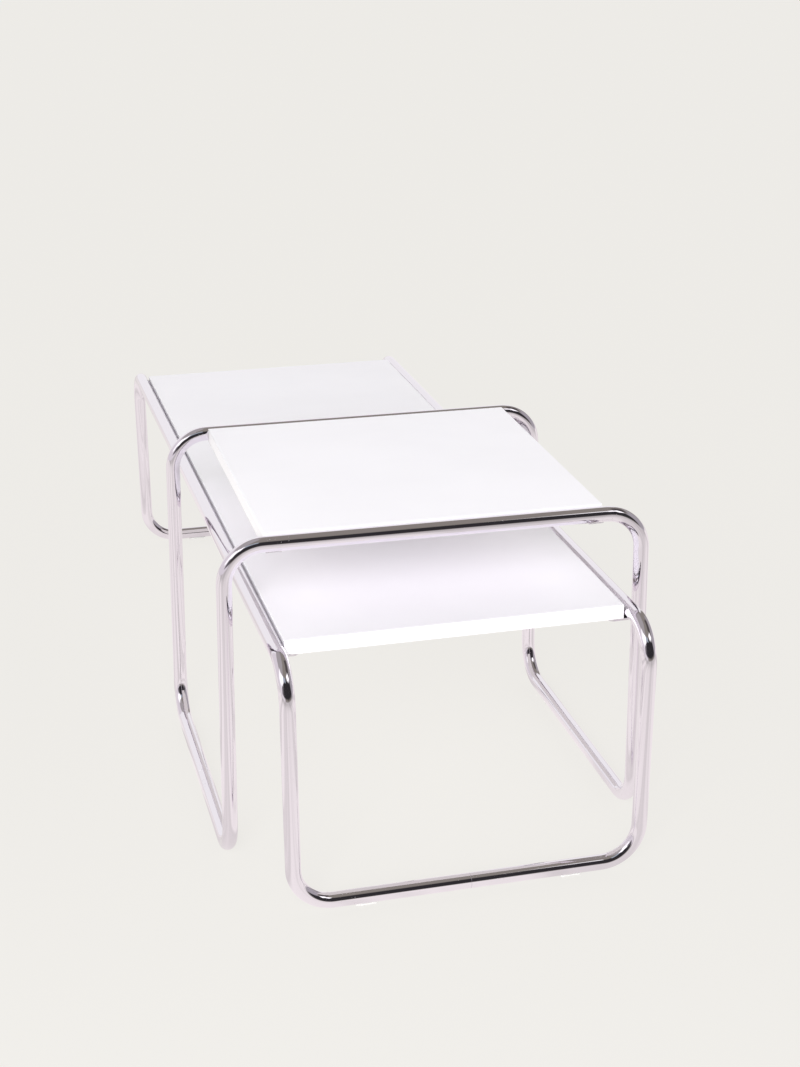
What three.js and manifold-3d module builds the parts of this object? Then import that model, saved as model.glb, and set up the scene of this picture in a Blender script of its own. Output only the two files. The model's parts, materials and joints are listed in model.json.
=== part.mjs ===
// A pair of nesting tables in bent steel tube: a tall square table that straddles a long low one.
// Millimetres, +Z up. The floor is z = 0. The low table lies along Y, and the origin is on the
// floor at the centre of the pair's bounding box.

import * as THREE from 'three';
import { mergeVertices } from 'three/addons/utils/BufferGeometryUtils.js';
import Module from 'manifold-3d';

const wasm = await Module();
wasm.setup();

// Driving dimensions of each table. Both are drawn with their two top rails along X, and
// 'span' is the distance between the rails. Lengths run from tube axis to tube axis. 'legSplay'
// spreads the feet of each half frame along its rail. 'legLean' tips the half frame, so that its
// feet stand nearer the table's centre line than its rail does.
const TALL = {
  name: 'tall',
  railLength: 543,
  span: 460,
  height: 450,
  legSplay: THREE.MathUtils.degToRad(0.5),
  legLean: 0,
  boardLength: 440,
  tabsPerRail: 2,
  sides: { minusX: 'left', plusX: 'right', minusY: 'front', plusY: 'back' },
};
const LOW = {
  name: 'low',
  railLength: 1330,
  span: 460,
  height: 340,
  legSplay: 0,
  legLean: THREE.MathUtils.degToRad(0.6),
  boardLength: 1200,
  tabsPerRail: 3,
  sides: { minusX: 'front', plusX: 'back', minusY: 'right', plusY: 'left' },
};

// The low table stands a little to one side of the tall one, which has been pushed back over
// its front end and is turned slightly from square.
const LOW_PLACE_X = 4;
const TALL_PLACE_Y = -303;
const TALL_TURN = THREE.MathUtils.degToRad(-0.7);

// Gap between pieces that touch, and how far a cutting tool stands past the piece it cuts.
const GAP = 0.3;
const OVERCUT = 5;

// Tube.
const TUBE_RADIUS = 10;
const TUBE_BORE_RADIUS = 8.5;
const TUBE_SIDES = 16;
const BORE_SIDES = 10;
const BEND_RADIUS = 50;
const STEPS_PER_BEND = 6;

// The spigot inside each runner joins the two half frames, held by a set screw on each side.
const SPIGOT_RADIUS = 7.7;
const SPIGOT_LENGTH = 90;
const SPIGOT_CHAMFER = 1.5;
const SET_SCREW_RADIUS = 2.5;
const SET_SCREW_LENGTH = 8;
const SET_SCREW_SOCKET_RADIUS = 1.3;
const SET_SCREW_SOCKET_DEPTH = 3;
const SET_SCREW_DISTANCE = 28;
const SET_SCREW_RECESS = 0.4;

// Board: a core with a laminate above and below, and a band on each of its four edges.
const BOARD_THICKNESS = 19;
const LAMINATE_THICKNESS = 0.8;
const BAND_THICKNESS = 1;
const BOARD_TO_TUBE_GAP = 0.7;

// Welded tabs under the board, and the screws that pass up through them into the core.
const TAB_WIDTH = 20;
const TAB_THICKNESS = 3;
const TAB_REACH = 19;
const TAB_CORNER_RADIUS = 7;
const TAB_END_INSET = 1;
const TAB_SCREW_REACH = 11;
const SCREW_RADIUS = 2;
const SCREW_LENGTH = 14;
const SCREW_POINT_LENGTH = 3;
const SCREW_HEAD_RADIUS = 4;
const SCREW_HEAD_HEIGHT = 2.4;
const SCREW_CROSS_WIDTH = 1.1;
const SCREW_CROSS_LENGTH = 4.4;
const SCREW_CROSS_DEPTH = 1.2;

// Glides: plastic saddles under the runners, each with a peg that snaps into the tube.
const GLIDE_LENGTH = 30;
const GLIDE_WIDTH = 9.5;
const GLIDE_FLOOR_GAP = 1.5;
const GLIDE_HEIGHT = 2.4;
const GLIDE_CORNER_RADIUS = 4.2;
const GLIDE_PEG_RADIUS = 2.6;
const GLIDE_PEG_ROOT = 1;
const GLIDE_PEG_TOP = 6;
const GLIDE_FROM_LEG = 95;

const SCREW_SIDES = 12;
const HOLE_SIDES = 10;
const ARC_STEPS = 4;

const chrome = { color: 0xd9d5da, metalness: 1, roughness: 0.1 };
const whiteLaminate = { color: 0xf4f2f5, metalness: 0, roughness: 0.35 };
const backingLaminate = { color: 0xe9e6e2, metalness: 0, roughness: 0.55 };
const particleBoard = { color: 0xbfa27c, metalness: 0, roughness: 0.9 };
const zincSteel = { color: 0xa9abad, metalness: 1, roughness: 0.35 };
const blackSteel = { color: 0x2b2b2d, metalness: 1, roughness: 0.45 };
const clearPlastic = { color: 0xe6e4df, metalness: 0, roughness: 0.4 };

// A closed geometry as a solid that can be cut and joined.
function solidFrom(geometry) {
  const bare = geometry.clone();
  bare.deleteAttribute('normal');
  bare.deleteAttribute('uv');
  const merged = mergeVertices(bare);
  const vertProperties = merged.attributes.position.array;
  const triVerts = merged.index.array;
  return new wasm.Manifold(new wasm.Mesh({ numProp: 3, vertProperties, triVerts }));
}

// A solid back as a geometry.
function geometryFrom(solid) {
  const { vertProperties, triVerts } = solid.getMesh();
  const geometry = new THREE.BufferGeometry();
  geometry.setAttribute('position', new THREE.BufferAttribute(vertProperties, 3));
  geometry.setIndex(new THREE.BufferAttribute(triVerts, 1));
  geometry.computeVertexNormals();
  return geometry;
}

function cut(body, tools) {
  let solid = body;
  for (const tool of tools) {
    solid = solid.subtract(tool);
  }
  return solid;
}

function boxSolid(sizeX, sizeY, sizeZ, x, y, z) {
  const geometry = new THREE.BoxGeometry(sizeX, sizeY, sizeZ);
  geometry.translate(x, y, z);
  return solidFrom(geometry);
}

// An upright cylinder that stands on 'bottom'.
function postSolid(radius, height, x, y, bottom, sides = HOLE_SIDES) {
  const geometry = new THREE.CylinderGeometry(radius, radius, height, sides);
  geometry.rotateX(Math.PI / 2);
  geometry.translate(x, y, bottom + height / 2);
  return solidFrom(geometry);
}

// A turned piece about the Z axis. The profile lists [radius, z], from the bottom to the top.
function turnedSolid(profile) {
  const points = profile.map(([radius, z]) => new THREE.Vector2(radius, z));
  const geometry = new THREE.LatheGeometry(points, SCREW_SIDES);
  geometry.rotateX(Math.PI / 2);
  return solidFrom(geometry);
}

// A flat plate whose plan is a shape, standing on 'bottom'.
function plateSolid(shape, thickness, bottom) {
  const options = { depth: thickness, bevelEnabled: false, curveSegments: ARC_STEPS };
  const geometry = new THREE.ExtrudeGeometry(shape, options);
  geometry.translate(0, 0, bottom);
  return solidFrom(geometry);
}

function circlePoints(radius, sides) {
  const points = [];
  for (let i = 0; i < sides; i += 1) {
    const angle = (i / sides) * 2 * Math.PI;
    points.push(new THREE.Vector2(radius * Math.cos(angle), radius * Math.sin(angle)));
  }
  return points;
}

// A tube's centre line: straight runs joined by round bends. It is sampled only at the ends of
// the straight runs and round the bends, so the parameter counts these stations.
class BentLine extends THREE.Curve {
  constructor(start, corners, end) {
    super();
    this.places = [start];
    this.tangents = [];
    let from = start;
    corners.forEach((corner, index) => {
      const to = index + 1 < corners.length ? corners[index + 1] : end;
      const incoming = corner.clone().sub(from).normalize();
      const outgoing = to.clone().sub(corner).normalize();
      if (index === 0) {
        this.tangents.push(incoming);
      }
      this.addBend(corner, incoming, outgoing);
      from = corner;
    });
    this.places.push(end);
    this.tangents.push(this.tangents.at(-1));
    this.steps = this.places.length - 1;
  }

  addBend(corner, incoming, outgoing) {
    const turn = incoming.angleTo(outgoing);
    const inward = outgoing.clone().addScaledVector(incoming, -Math.cos(turn)).normalize();
    const centre = corner.clone();
    centre.addScaledVector(incoming, -BEND_RADIUS * Math.tan(turn / 2));
    centre.addScaledVector(inward, BEND_RADIUS);
    for (let i = 0; i <= STEPS_PER_BEND; i += 1) {
      const angle = (i / STEPS_PER_BEND) * turn;
      const place = centre.clone();
      place.addScaledVector(incoming, BEND_RADIUS * Math.sin(angle));
      place.addScaledVector(inward, -BEND_RADIUS * Math.cos(angle));
      const tangent = incoming.clone().multiplyScalar(Math.cos(angle));
      tangent.addScaledVector(inward, Math.sin(angle));
      this.places.push(place);
      this.tangents.push(tangent);
    }
  }

  getPointAt(u, target = new THREE.Vector3()) {
    return target.copy(this.places[Math.round(u * this.steps)]);
  }

  getTangentAt(u, target = new THREE.Vector3()) {
    return target.copy(this.tangents[Math.round(u * this.steps)]);
  }
}

// The places that the pieces of one table share.
function layout(table) {
  const runnerZ = GLIDE_FLOOR_GAP + TUBE_RADIUS;
  const railZ = table.height - TUBE_RADIUS;
  const railX = table.railLength / 2;
  const legRise = railZ - runnerZ;
  const runnerX = railX + legRise * Math.tan(table.legSplay);
  const railY = table.span / 2;
  const footY = railY - legRise * Math.tan(table.legLean);
  const boardWidth = table.span - 2 * (TUBE_RADIUS + BOARD_TO_TUBE_GAP);
  const boardBottom = table.height - BOARD_THICKNESS;
  const tabTop = boardBottom - GAP;
  const tabBottom = tabTop - TAB_THICKNESS;
  const endTab = table.boardLength / 2 - TAB_END_INSET - TAB_WIDTH / 2;
  const tabXs = [];
  for (let i = 0; i < table.tabsPerRail; i += 1) {
    tabXs.push(-endTab + (2 * endTab * i) / (table.tabsPerRail - 1));
  }
  const tabNames = tabXs.map((x) => {
    if (Math.abs(x) < 1) {
      return 'middle';
    }
    return x < 0 ? table.sides.minusX : table.sides.plusX;
  });
  const screwY = boardWidth / 2 - TAB_SCREW_REACH;
  const glideY = railY - GLIDE_FROM_LEG;
  return {
    runnerZ, railZ, railX, runnerX, railY, footY, glideY,
    boardWidth, boardBottom, tabTop, tabBottom, tabXs, tabNames, screwY,
  };
}

// Half of a table's frame: half a runner, a leg, the rail, a leg and half a runner, in one bent
// tube on the -Y side, with its holes for the glide pegs and the set screws drilled from below.
function halfFrameSolid(table) {
  const { runnerZ, railZ, railX, runnerX, railY, footY, glideY } = layout(table);
  const line = new BentLine(
    new THREE.Vector3(-runnerX, -GAP / 2, runnerZ),
    [
      new THREE.Vector3(-runnerX, -footY, runnerZ),
      new THREE.Vector3(-railX, -railY, railZ),
      new THREE.Vector3(railX, -railY, railZ),
      new THREE.Vector3(runnerX, -footY, runnerZ),
    ],
    new THREE.Vector3(runnerX, -GAP / 2, runnerZ),
  );
  const section = new THREE.Shape(circlePoints(TUBE_RADIUS, TUBE_SIDES));
  section.holes.push(new THREE.Path(circlePoints(TUBE_BORE_RADIUS, BORE_SIDES)));
  const tube = new THREE.ExtrudeGeometry(section, { steps: line.steps, extrudePath: line });
  const drills = [];
  for (const x of [-runnerX, runnerX]) {
    const drillHeight = runnerZ + OVERCUT;
    drills.push(postSolid(GLIDE_PEG_RADIUS + GAP, drillHeight, x, -glideY, -OVERCUT));
    drills.push(postSolid(SET_SCREW_RADIUS + GAP, drillHeight, x, -SET_SCREW_DISTANCE, -OVERCUT));
  }
  return cut(solidFrom(tube), drills);
}

// The spigot lies along Y inside a runner, with a blind hole from below for each set screw.
function spigotSolid(runnerZ) {
  const half = SPIGOT_LENGTH / 2;
  const geometry = new THREE.LatheGeometry(
    [
      new THREE.Vector2(0, -half),
      new THREE.Vector2(SPIGOT_RADIUS - SPIGOT_CHAMFER, -half),
      new THREE.Vector2(SPIGOT_RADIUS, -half + SPIGOT_CHAMFER),
      new THREE.Vector2(SPIGOT_RADIUS, half - SPIGOT_CHAMFER),
      new THREE.Vector2(SPIGOT_RADIUS - SPIGOT_CHAMFER, half),
      new THREE.Vector2(0, half),
    ],
    BORE_SIDES,
  );
  geometry.translate(0, 0, runnerZ);
  const holeTop = GLIDE_FLOOR_GAP + SET_SCREW_RECESS + SET_SCREW_LENGTH + GAP;
  const holes = [-SET_SCREW_DISTANCE, SET_SCREW_DISTANCE].map(
    (y) => postSolid(SET_SCREW_RADIUS + GAP, holeTop + OVERCUT, 0, y, -OVERCUT),
  );
  return cut(solidFrom(geometry), holes);
}

// A headless screw with a hexagon socket in its lower end.
function setScrewSolid() {
  const bottom = GLIDE_FLOOR_GAP + SET_SCREW_RECESS;
  const body = postSolid(SET_SCREW_RADIUS, SET_SCREW_LENGTH, 0, 0, bottom);
  const socketHeight = SET_SCREW_SOCKET_DEPTH + OVERCUT;
  const socket = postSolid(SET_SCREW_SOCKET_RADIUS, socketHeight, 0, 0, bottom - OVERCUT, 6);
  return cut(body, [socket]);
}

// A tab lies under the board with its root tucked beneath the rail, where it is welded. It is
// drawn for the -Y rail, centred on x = 0, and its root is hollowed to fit the tube.
function tabSolid(table) {
  const { railZ, boardWidth, tabTop, tabBottom, screwY } = layout(table);
  const rootY = -table.span / 2;
  const noseY = -boardWidth / 2 + TAB_REACH;
  const halfWidth = TAB_WIDTH / 2;
  const shape = new THREE.Shape();
  shape.moveTo(-halfWidth, rootY);
  shape.lineTo(halfWidth, rootY);
  shape.lineTo(halfWidth, noseY - TAB_CORNER_RADIUS);
  shape.absarc(halfWidth - TAB_CORNER_RADIUS, noseY - TAB_CORNER_RADIUS, TAB_CORNER_RADIUS, 0, Math.PI / 2);
  shape.lineTo(-halfWidth + TAB_CORNER_RADIUS, noseY);
  shape.absarc(
    -halfWidth + TAB_CORNER_RADIUS, noseY - TAB_CORNER_RADIUS, TAB_CORNER_RADIUS, Math.PI / 2, Math.PI,
  );
  shape.lineTo(-halfWidth, rootY);
  const plate = plateSolid(shape, tabTop - tabBottom, tabBottom);
  const tubeLength = TAB_WIDTH + 2 * OVERCUT;
  const tube = new THREE.CylinderGeometry(TUBE_RADIUS + GAP, TUBE_RADIUS + GAP, tubeLength, TUBE_SIDES);
  tube.rotateZ(Math.PI / 2);
  tube.translate(0, rootY, railZ);
  const hole = postSolid(SCREW_RADIUS + GAP, TAB_THICKNESS + 2 * OVERCUT, 0, -screwY, tabBottom - OVERCUT);
  return cut(plate, [solidFrom(tube), hole]);
}

// A wood screw, head down, with its head under the tab and a cross recess in the head.
function tabScrewSolid(tabBottom) {
  const seat = tabBottom - GAP;
  const tip = seat + SCREW_LENGTH;
  const headBottom = seat - SCREW_HEAD_HEIGHT;
  const body = turnedSolid([
    [0, headBottom],
    [SCREW_HEAD_RADIUS * 0.65, headBottom],
    [SCREW_HEAD_RADIUS * 0.92, headBottom + SCREW_HEAD_HEIGHT * 0.35],
    [SCREW_HEAD_RADIUS, headBottom + SCREW_HEAD_HEIGHT * 0.75],
    [SCREW_HEAD_RADIUS, seat],
    [SCREW_RADIUS, seat],
    [SCREW_RADIUS, tip - SCREW_POINT_LENGTH],
    [0, tip],
  ]);
  const recessHeight = SCREW_CROSS_DEPTH + OVERCUT;
  const recessZ = headBottom + SCREW_CROSS_DEPTH - recessHeight / 2;
  const slotAcross = boxSolid(SCREW_CROSS_LENGTH, SCREW_CROSS_WIDTH, recessHeight, 0, 0, recessZ);
  const slotAlong = boxSolid(SCREW_CROSS_WIDTH, SCREW_CROSS_LENGTH, recessHeight, 0, 0, recessZ);
  return cut(body, [slotAcross, slotAlong]);
}

// The plan of a glide: a rectangle with rounded corners, longer along Y.
function glidePlan() {
  const halfX = GLIDE_WIDTH / 2;
  const halfY = GLIDE_LENGTH / 2;
  const arcX = halfX - GLIDE_CORNER_RADIUS;
  const arcY = halfY - GLIDE_CORNER_RADIUS;
  const shape = new THREE.Shape();
  shape.moveTo(halfX, -arcY);
  shape.absarc(arcX, arcY, GLIDE_CORNER_RADIUS, 0, Math.PI / 2);
  shape.absarc(-arcX, arcY, GLIDE_CORNER_RADIUS, Math.PI / 2, Math.PI);
  shape.absarc(-arcX, -arcY, GLIDE_CORNER_RADIUS, Math.PI, 1.5 * Math.PI);
  shape.absarc(arcX, -arcY, GLIDE_CORNER_RADIUS, 1.5 * Math.PI, 2 * Math.PI);
  return shape;
}

// A glide stands on the floor and cradles a runner that lies along Y.
function glideSolid(runnerZ) {
  const block = plateSolid(glidePlan(), GLIDE_HEIGHT, 0);
  const tubeLength = GLIDE_LENGTH + 2 * OVERCUT;
  const tube = new THREE.CylinderGeometry(TUBE_RADIUS + GAP, TUBE_RADIUS + GAP, tubeLength, TUBE_SIDES);
  tube.translate(0, 0, runnerZ);
  const cradle = cut(block, [solidFrom(tube)]);
  const pegLength = GLIDE_PEG_TOP - GLIDE_PEG_ROOT;
  return cradle.add(postSolid(GLIDE_PEG_RADIUS, pegLength, 0, 0, GLIDE_PEG_ROOT));
}

// The centres of the screw holes in a board.
function screwPlaces(table) {
  const { tabXs, screwY } = layout(table);
  return tabXs.flatMap((x) => [[x, -screwY], [x, screwY]]);
}

// The pieces of a table's board, each with its material.
function boardPieces(table) {
  const { boardWidth, boardBottom } = layout(table);
  const length = table.boardLength;
  const backingTop = boardBottom + LAMINATE_THICKNESS;
  const coreBottom = backingTop + GAP;
  const laminateBottom = table.height - LAMINATE_THICKNESS;
  const coreHeight = laminateBottom - GAP - coreBottom;
  const coreZ = coreBottom + coreHeight / 2;
  const coreLength = length - 2 * (BAND_THICKNESS + GAP);
  const coreWidth = boardWidth - 2 * (BAND_THICKNESS + GAP);
  const holes = screwPlaces(table).map(
    ([x, y]) => postSolid(SCREW_RADIUS + GAP, SCREW_LENGTH + OVERCUT, x, y, boardBottom - OVERCUT),
  );
  const core = cut(boxSolid(coreLength, coreWidth, coreHeight, 0, 0, coreZ), holes);
  const backingZ = boardBottom + LAMINATE_THICKNESS / 2;
  const backing = cut(boxSolid(length, boardWidth, LAMINATE_THICKNESS, 0, 0, backingZ), holes);
  const topZ = table.height - LAMINATE_THICKNESS / 2;
  const pieces = {
    board_core: [core, particleBoard],
    top_laminate: [boxSolid(length, boardWidth, LAMINATE_THICKNESS, 0, 0, topZ), whiteLaminate],
    backing_laminate: [backing, backingLaminate],
  };
  const endBandX = (length - BAND_THICKNESS) / 2;
  const sideBandY = (boardWidth - BAND_THICKNESS) / 2;
  for (const sign of [-1, 1]) {
    const end = sign < 0 ? table.sides.minusX : table.sides.plusX;
    const side = sign < 0 ? table.sides.minusY : table.sides.plusY;
    const endBand = boxSolid(BAND_THICKNESS, boardWidth, coreHeight, sign * endBandX, 0, coreZ);
    const sideBand = boxSolid(coreLength, BAND_THICKNESS, coreHeight, 0, sign * sideBandY, coreZ);
    pieces[`edge_band_${end}`] = [endBand, whiteLaminate];
    pieces[`edge_band_${side}`] = [sideBand, whiteLaminate];
  }
  return pieces;
}

function namedMesh(name, solid, look) {
  const mesh = new THREE.Mesh(geometryFrom(solid), new THREE.MeshStandardMaterial(look));
  mesh.name = name;
  return mesh;
}

// One table: frame, joints, board, tabs with their screws, and glides.
function buildTable(table) {
  const group = new THREE.Group();
  const place = layout(table);
  const addPiece = (name, solid, look, x = 0, y = 0, turn = 0) => {
    const mesh = namedMesh(`${table.name}_${name}`, solid, look);
    mesh.position.set(x, y, 0);
    mesh.rotation.z = turn;
    group.add(mesh);
  };

  for (const [name, [solid, look]] of Object.entries(boardPieces(table))) {
    addPiece(name, solid, look);
  }

  for (const side of [-1, 1]) {
    const sideName = side < 0 ? table.sides.minusY : table.sides.plusY;
    const turn = side < 0 ? 0 : Math.PI;
    addPiece(`frame_${sideName}`, halfFrameSolid(table), chrome, 0, 0, turn);
    place.tabXs.forEach((x, index) => {
      const label = `${sideName}_${place.tabNames[index]}`;
      addPiece(`tab_${label}`, tabSolid(table), chrome, x, 0, turn);
      addPiece(`tab_screw_${label}`, tabScrewSolid(place.tabBottom), zincSteel, x, side * place.screwY);
    });
  }

  for (const end of [-1, 1]) {
    const x = end * place.runnerX;
    const endName = end < 0 ? table.sides.minusX : table.sides.plusX;
    addPiece(`joint_spigot_${endName}`, spigotSolid(place.runnerZ), zincSteel, x);
    for (const side of [-1, 1]) {
      const label = `${endName}_${side < 0 ? table.sides.minusY : table.sides.plusY}`;
      addPiece(`set_screw_${label}`, setScrewSolid(), blackSteel, x, side * SET_SCREW_DISTANCE);
      addPiece(`glide_${label}`, glideSolid(place.runnerZ), clearPlastic, x, side * place.glideY);
    }
  }
  return group;
}

const lowTable = buildTable(LOW);
lowTable.rotation.z = Math.PI / 2;
lowTable.position.x = LOW_PLACE_X;

const tallTable = buildTable(TALL);
tallTable.rotation.z = TALL_TURN;
tallTable.position.y = TALL_PLACE_Y;

const nestingTables = new THREE.Group();
nestingTables.add(lowTable, tallTable);

export default nestingTables;
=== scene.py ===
import json
import math

import bmesh
import bpy
from mathutils import Matrix, Vector

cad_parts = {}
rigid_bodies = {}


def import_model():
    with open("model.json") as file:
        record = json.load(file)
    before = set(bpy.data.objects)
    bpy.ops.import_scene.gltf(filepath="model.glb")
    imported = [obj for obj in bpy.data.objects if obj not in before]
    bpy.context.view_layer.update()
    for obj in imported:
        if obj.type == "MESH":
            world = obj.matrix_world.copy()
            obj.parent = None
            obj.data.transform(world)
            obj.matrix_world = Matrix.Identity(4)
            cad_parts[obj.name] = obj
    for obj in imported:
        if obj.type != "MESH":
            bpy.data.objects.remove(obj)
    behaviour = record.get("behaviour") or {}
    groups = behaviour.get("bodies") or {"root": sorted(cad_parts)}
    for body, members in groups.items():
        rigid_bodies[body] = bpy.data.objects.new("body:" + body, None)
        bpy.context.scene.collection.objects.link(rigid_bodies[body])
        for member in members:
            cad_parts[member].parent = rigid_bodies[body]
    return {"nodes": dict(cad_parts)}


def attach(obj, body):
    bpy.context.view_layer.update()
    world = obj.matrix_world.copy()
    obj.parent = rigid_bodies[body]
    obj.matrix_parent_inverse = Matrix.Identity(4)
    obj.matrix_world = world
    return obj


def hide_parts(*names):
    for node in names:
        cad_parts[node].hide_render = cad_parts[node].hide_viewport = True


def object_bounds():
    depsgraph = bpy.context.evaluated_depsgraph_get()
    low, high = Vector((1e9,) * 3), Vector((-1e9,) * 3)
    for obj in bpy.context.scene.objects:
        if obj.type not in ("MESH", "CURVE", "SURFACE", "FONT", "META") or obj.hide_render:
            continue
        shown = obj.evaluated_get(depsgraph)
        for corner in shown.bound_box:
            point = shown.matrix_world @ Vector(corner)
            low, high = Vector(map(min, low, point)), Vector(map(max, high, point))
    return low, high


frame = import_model()
cad_low, cad_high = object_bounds()

# Sizes in metres that the frame's boxes don't give by themselves.
TUBE_RADIUS = 0.010
TUBE_BORE = 0.0085
BEND_RADIUS = 0.050
BEND_FLATTENING = 0.035
SEAM_GAP = 0.0001
SEAM_CHAMFER = 0.0002
STATION_LEAD = 0.003
RUNNER_HOLE = 0.0029

LAMINATE = 0.0008
GLUE_LINE = 0.0001
BAND = 0.001
ARRIS = 0.0004
BACKING_HOLE = 0.0022

TAB_CORNER = 0.007
TAB_EASE = 0.0004
TAB_HOLE = 0.0023
WELD_RADIUS = 0.0013
WELD_SHORT_OF_TAB = 0.001
WELD_END_SHARE = 0.25
WELD_TAPER = 0.35
WELD_RIPPLE = 0.10
WELD_RIPPLES = 15
WELD_HEIGHT_SHARE = 0.75
SCREW_HEAD = 0.0024
SCREW_CORE = 0.0015
SCREW_THREAD = 0.002
SCREW_TIP = 0.0003
SCREW_TIP_LENGTH = 0.003
SCREW_TURN = math.radians(20)
THREAD_PITCH = 0.0012
THREAD_ROOT_SHARE = 0.3
THREAD_CREST_SHARE = 0.65
THREAD_RUN_OUT = 0.0004
CROSS_LENGTH = 0.0044
CROSS_WIDTH = 0.0011
CROSS_DEPTH = 0.0012
SET_SCREW_LEAD = 0.0003
SET_SCREW_CORE_SHARE = 0.86
SET_SCREW_POINT_SHARE = 0.9
SOCKET_RADIUS = 0.00145
SOCKET_DEPTH = 0.003
GLIDE_HEIGHT = 0.0024
GLIDE_CORNER = 0.0042
GLIDE_EASE = 0.0003
GLIDE_RIM = 3 * GLIDE_EASE
GLIDE_HOLLOW = 0.0004
PEG_RADIUS = 0.0026
PEG_ROOT = 0.001
SPIGOT_CHAMFER = 0.0015
FIT = 0.0002

# How far a cutting tool reaches past what it cuts, and how near two points are one, in metres.
OVERCUT = 0.005
SAME_POINT = 1e-7

# A pan head as shares of its radius and heights above its lowest point.
PAN_HEAD = ((0.60, 0.0), (0.72, 0.0001), (0.86, 0.0004), (0.95, 0.0009), (1.0, 0.0016))

# A glide peg's rounded tip as shares of its radius and depths below its highest point.
PEG_TIP = ((1.0, 0.0012), (0.9, 0.0006), (0.6, 0.0))

# How finely round shapes are drawn.
SECTION_SIDES = 56
TURNED_SIDES = 40
ROD_SIDES = 96
SPIGOT_SIDES = 64
RUNNER_HOLE_SIDES = 32
BACKING_HOLE_SIDES = 24
SOCKET_SIDES = 6
BEND_STEPS = 20
ARRIS_STEPS = 2
ARC_STEPS = 10
WELD_STEPS = 60
WELD_SIDES = 16

# The sharper limit keeps the big faces of the boards truly flat.
SMOOTH_ANGLE = 35.0
BOARD_SMOOTH_ANGLE = 20.0

# How far the legs of each table lean along and across its rails.
LEG_SPLAY = {"low": 0.0, "tall": math.radians(0.5)}
LEG_LEAN = {"low": math.radians(0.6), "tall": 0.0}


# ---------------------------------------------------------------- the two tables' own frames


class Table:
    """One table's own frame: rails along its X axis, origin on the floor under its centre."""

    def __init__(self, name, sides):
        self.name = name
        self.body = f"{name}_table"
        self.sides = sides
        corners = [v.co.xy for v in frame["nodes"][f"{name}_top_laminate"].data.vertices]
        near = min(corners, key=lambda c: c.x + c.y)
        far = max(corners, key=lambda c: c.x + c.y)
        right = max(corners, key=lambda c: c.x - c.y)
        left = min(corners, key=lambda c: c.x - c.y)
        centre = (near + far) / 2
        along = right - near if sides["minus_x"] == "left" else left - near
        turn = math.atan2(along.y, along.x)
        self.matrix = Matrix.Translation((centre.x, centre.y, 0)) @ Matrix.Rotation(turn, 4, "Z")
        _, board_high = self.local_box(f"{name}_top_laminate")
        self.board_x = board_high.x
        self.board_y = board_high.y
        self.top = board_high.z
        backing_low, _ = self.local_box(f"{name}_backing_laminate")
        self.board_bottom = backing_low.z
        frame_low, frame_high = self.local_box(f"{name}_frame_{sides['minus_y']}")
        self.runner_x = frame_high.x - TUBE_RADIUS
        self.rail_y = -frame_low.y - TUBE_RADIUS
        self.rail_z = self.top - TUBE_RADIUS
        self.runner_z = frame_low.z + TUBE_RADIUS

    def local_box(self, node):
        """Lowest and highest corner of a CAD node in this table's own frame."""
        inverse = self.matrix.inverted()
        points = [inverse @ v.co for v in frame["nodes"][node].data.vertices]
        low = Vector([min(p[axis] for p in points) for axis in range(3)])
        high = Vector([max(p[axis] for p in points) for axis in range(3)])
        return low, high

    def local_centre(self, node):
        """Middle of a CAD node's box in this table's own frame."""
        low, high = self.local_box(node)
        return (low + high) / 2


# The rails of the low table run from front to back, and those of the tall one from left to right.
TABLES = (
    Table("low", {"minus_x": "front", "plus_x": "back", "minus_y": "right", "plus_y": "left"}),
    Table("tall", {"minus_x": "left", "plus_x": "right", "minus_y": "front", "plus_y": "back"}),
)


# ---------------------------------------------------------------- node helpers for materials


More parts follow.
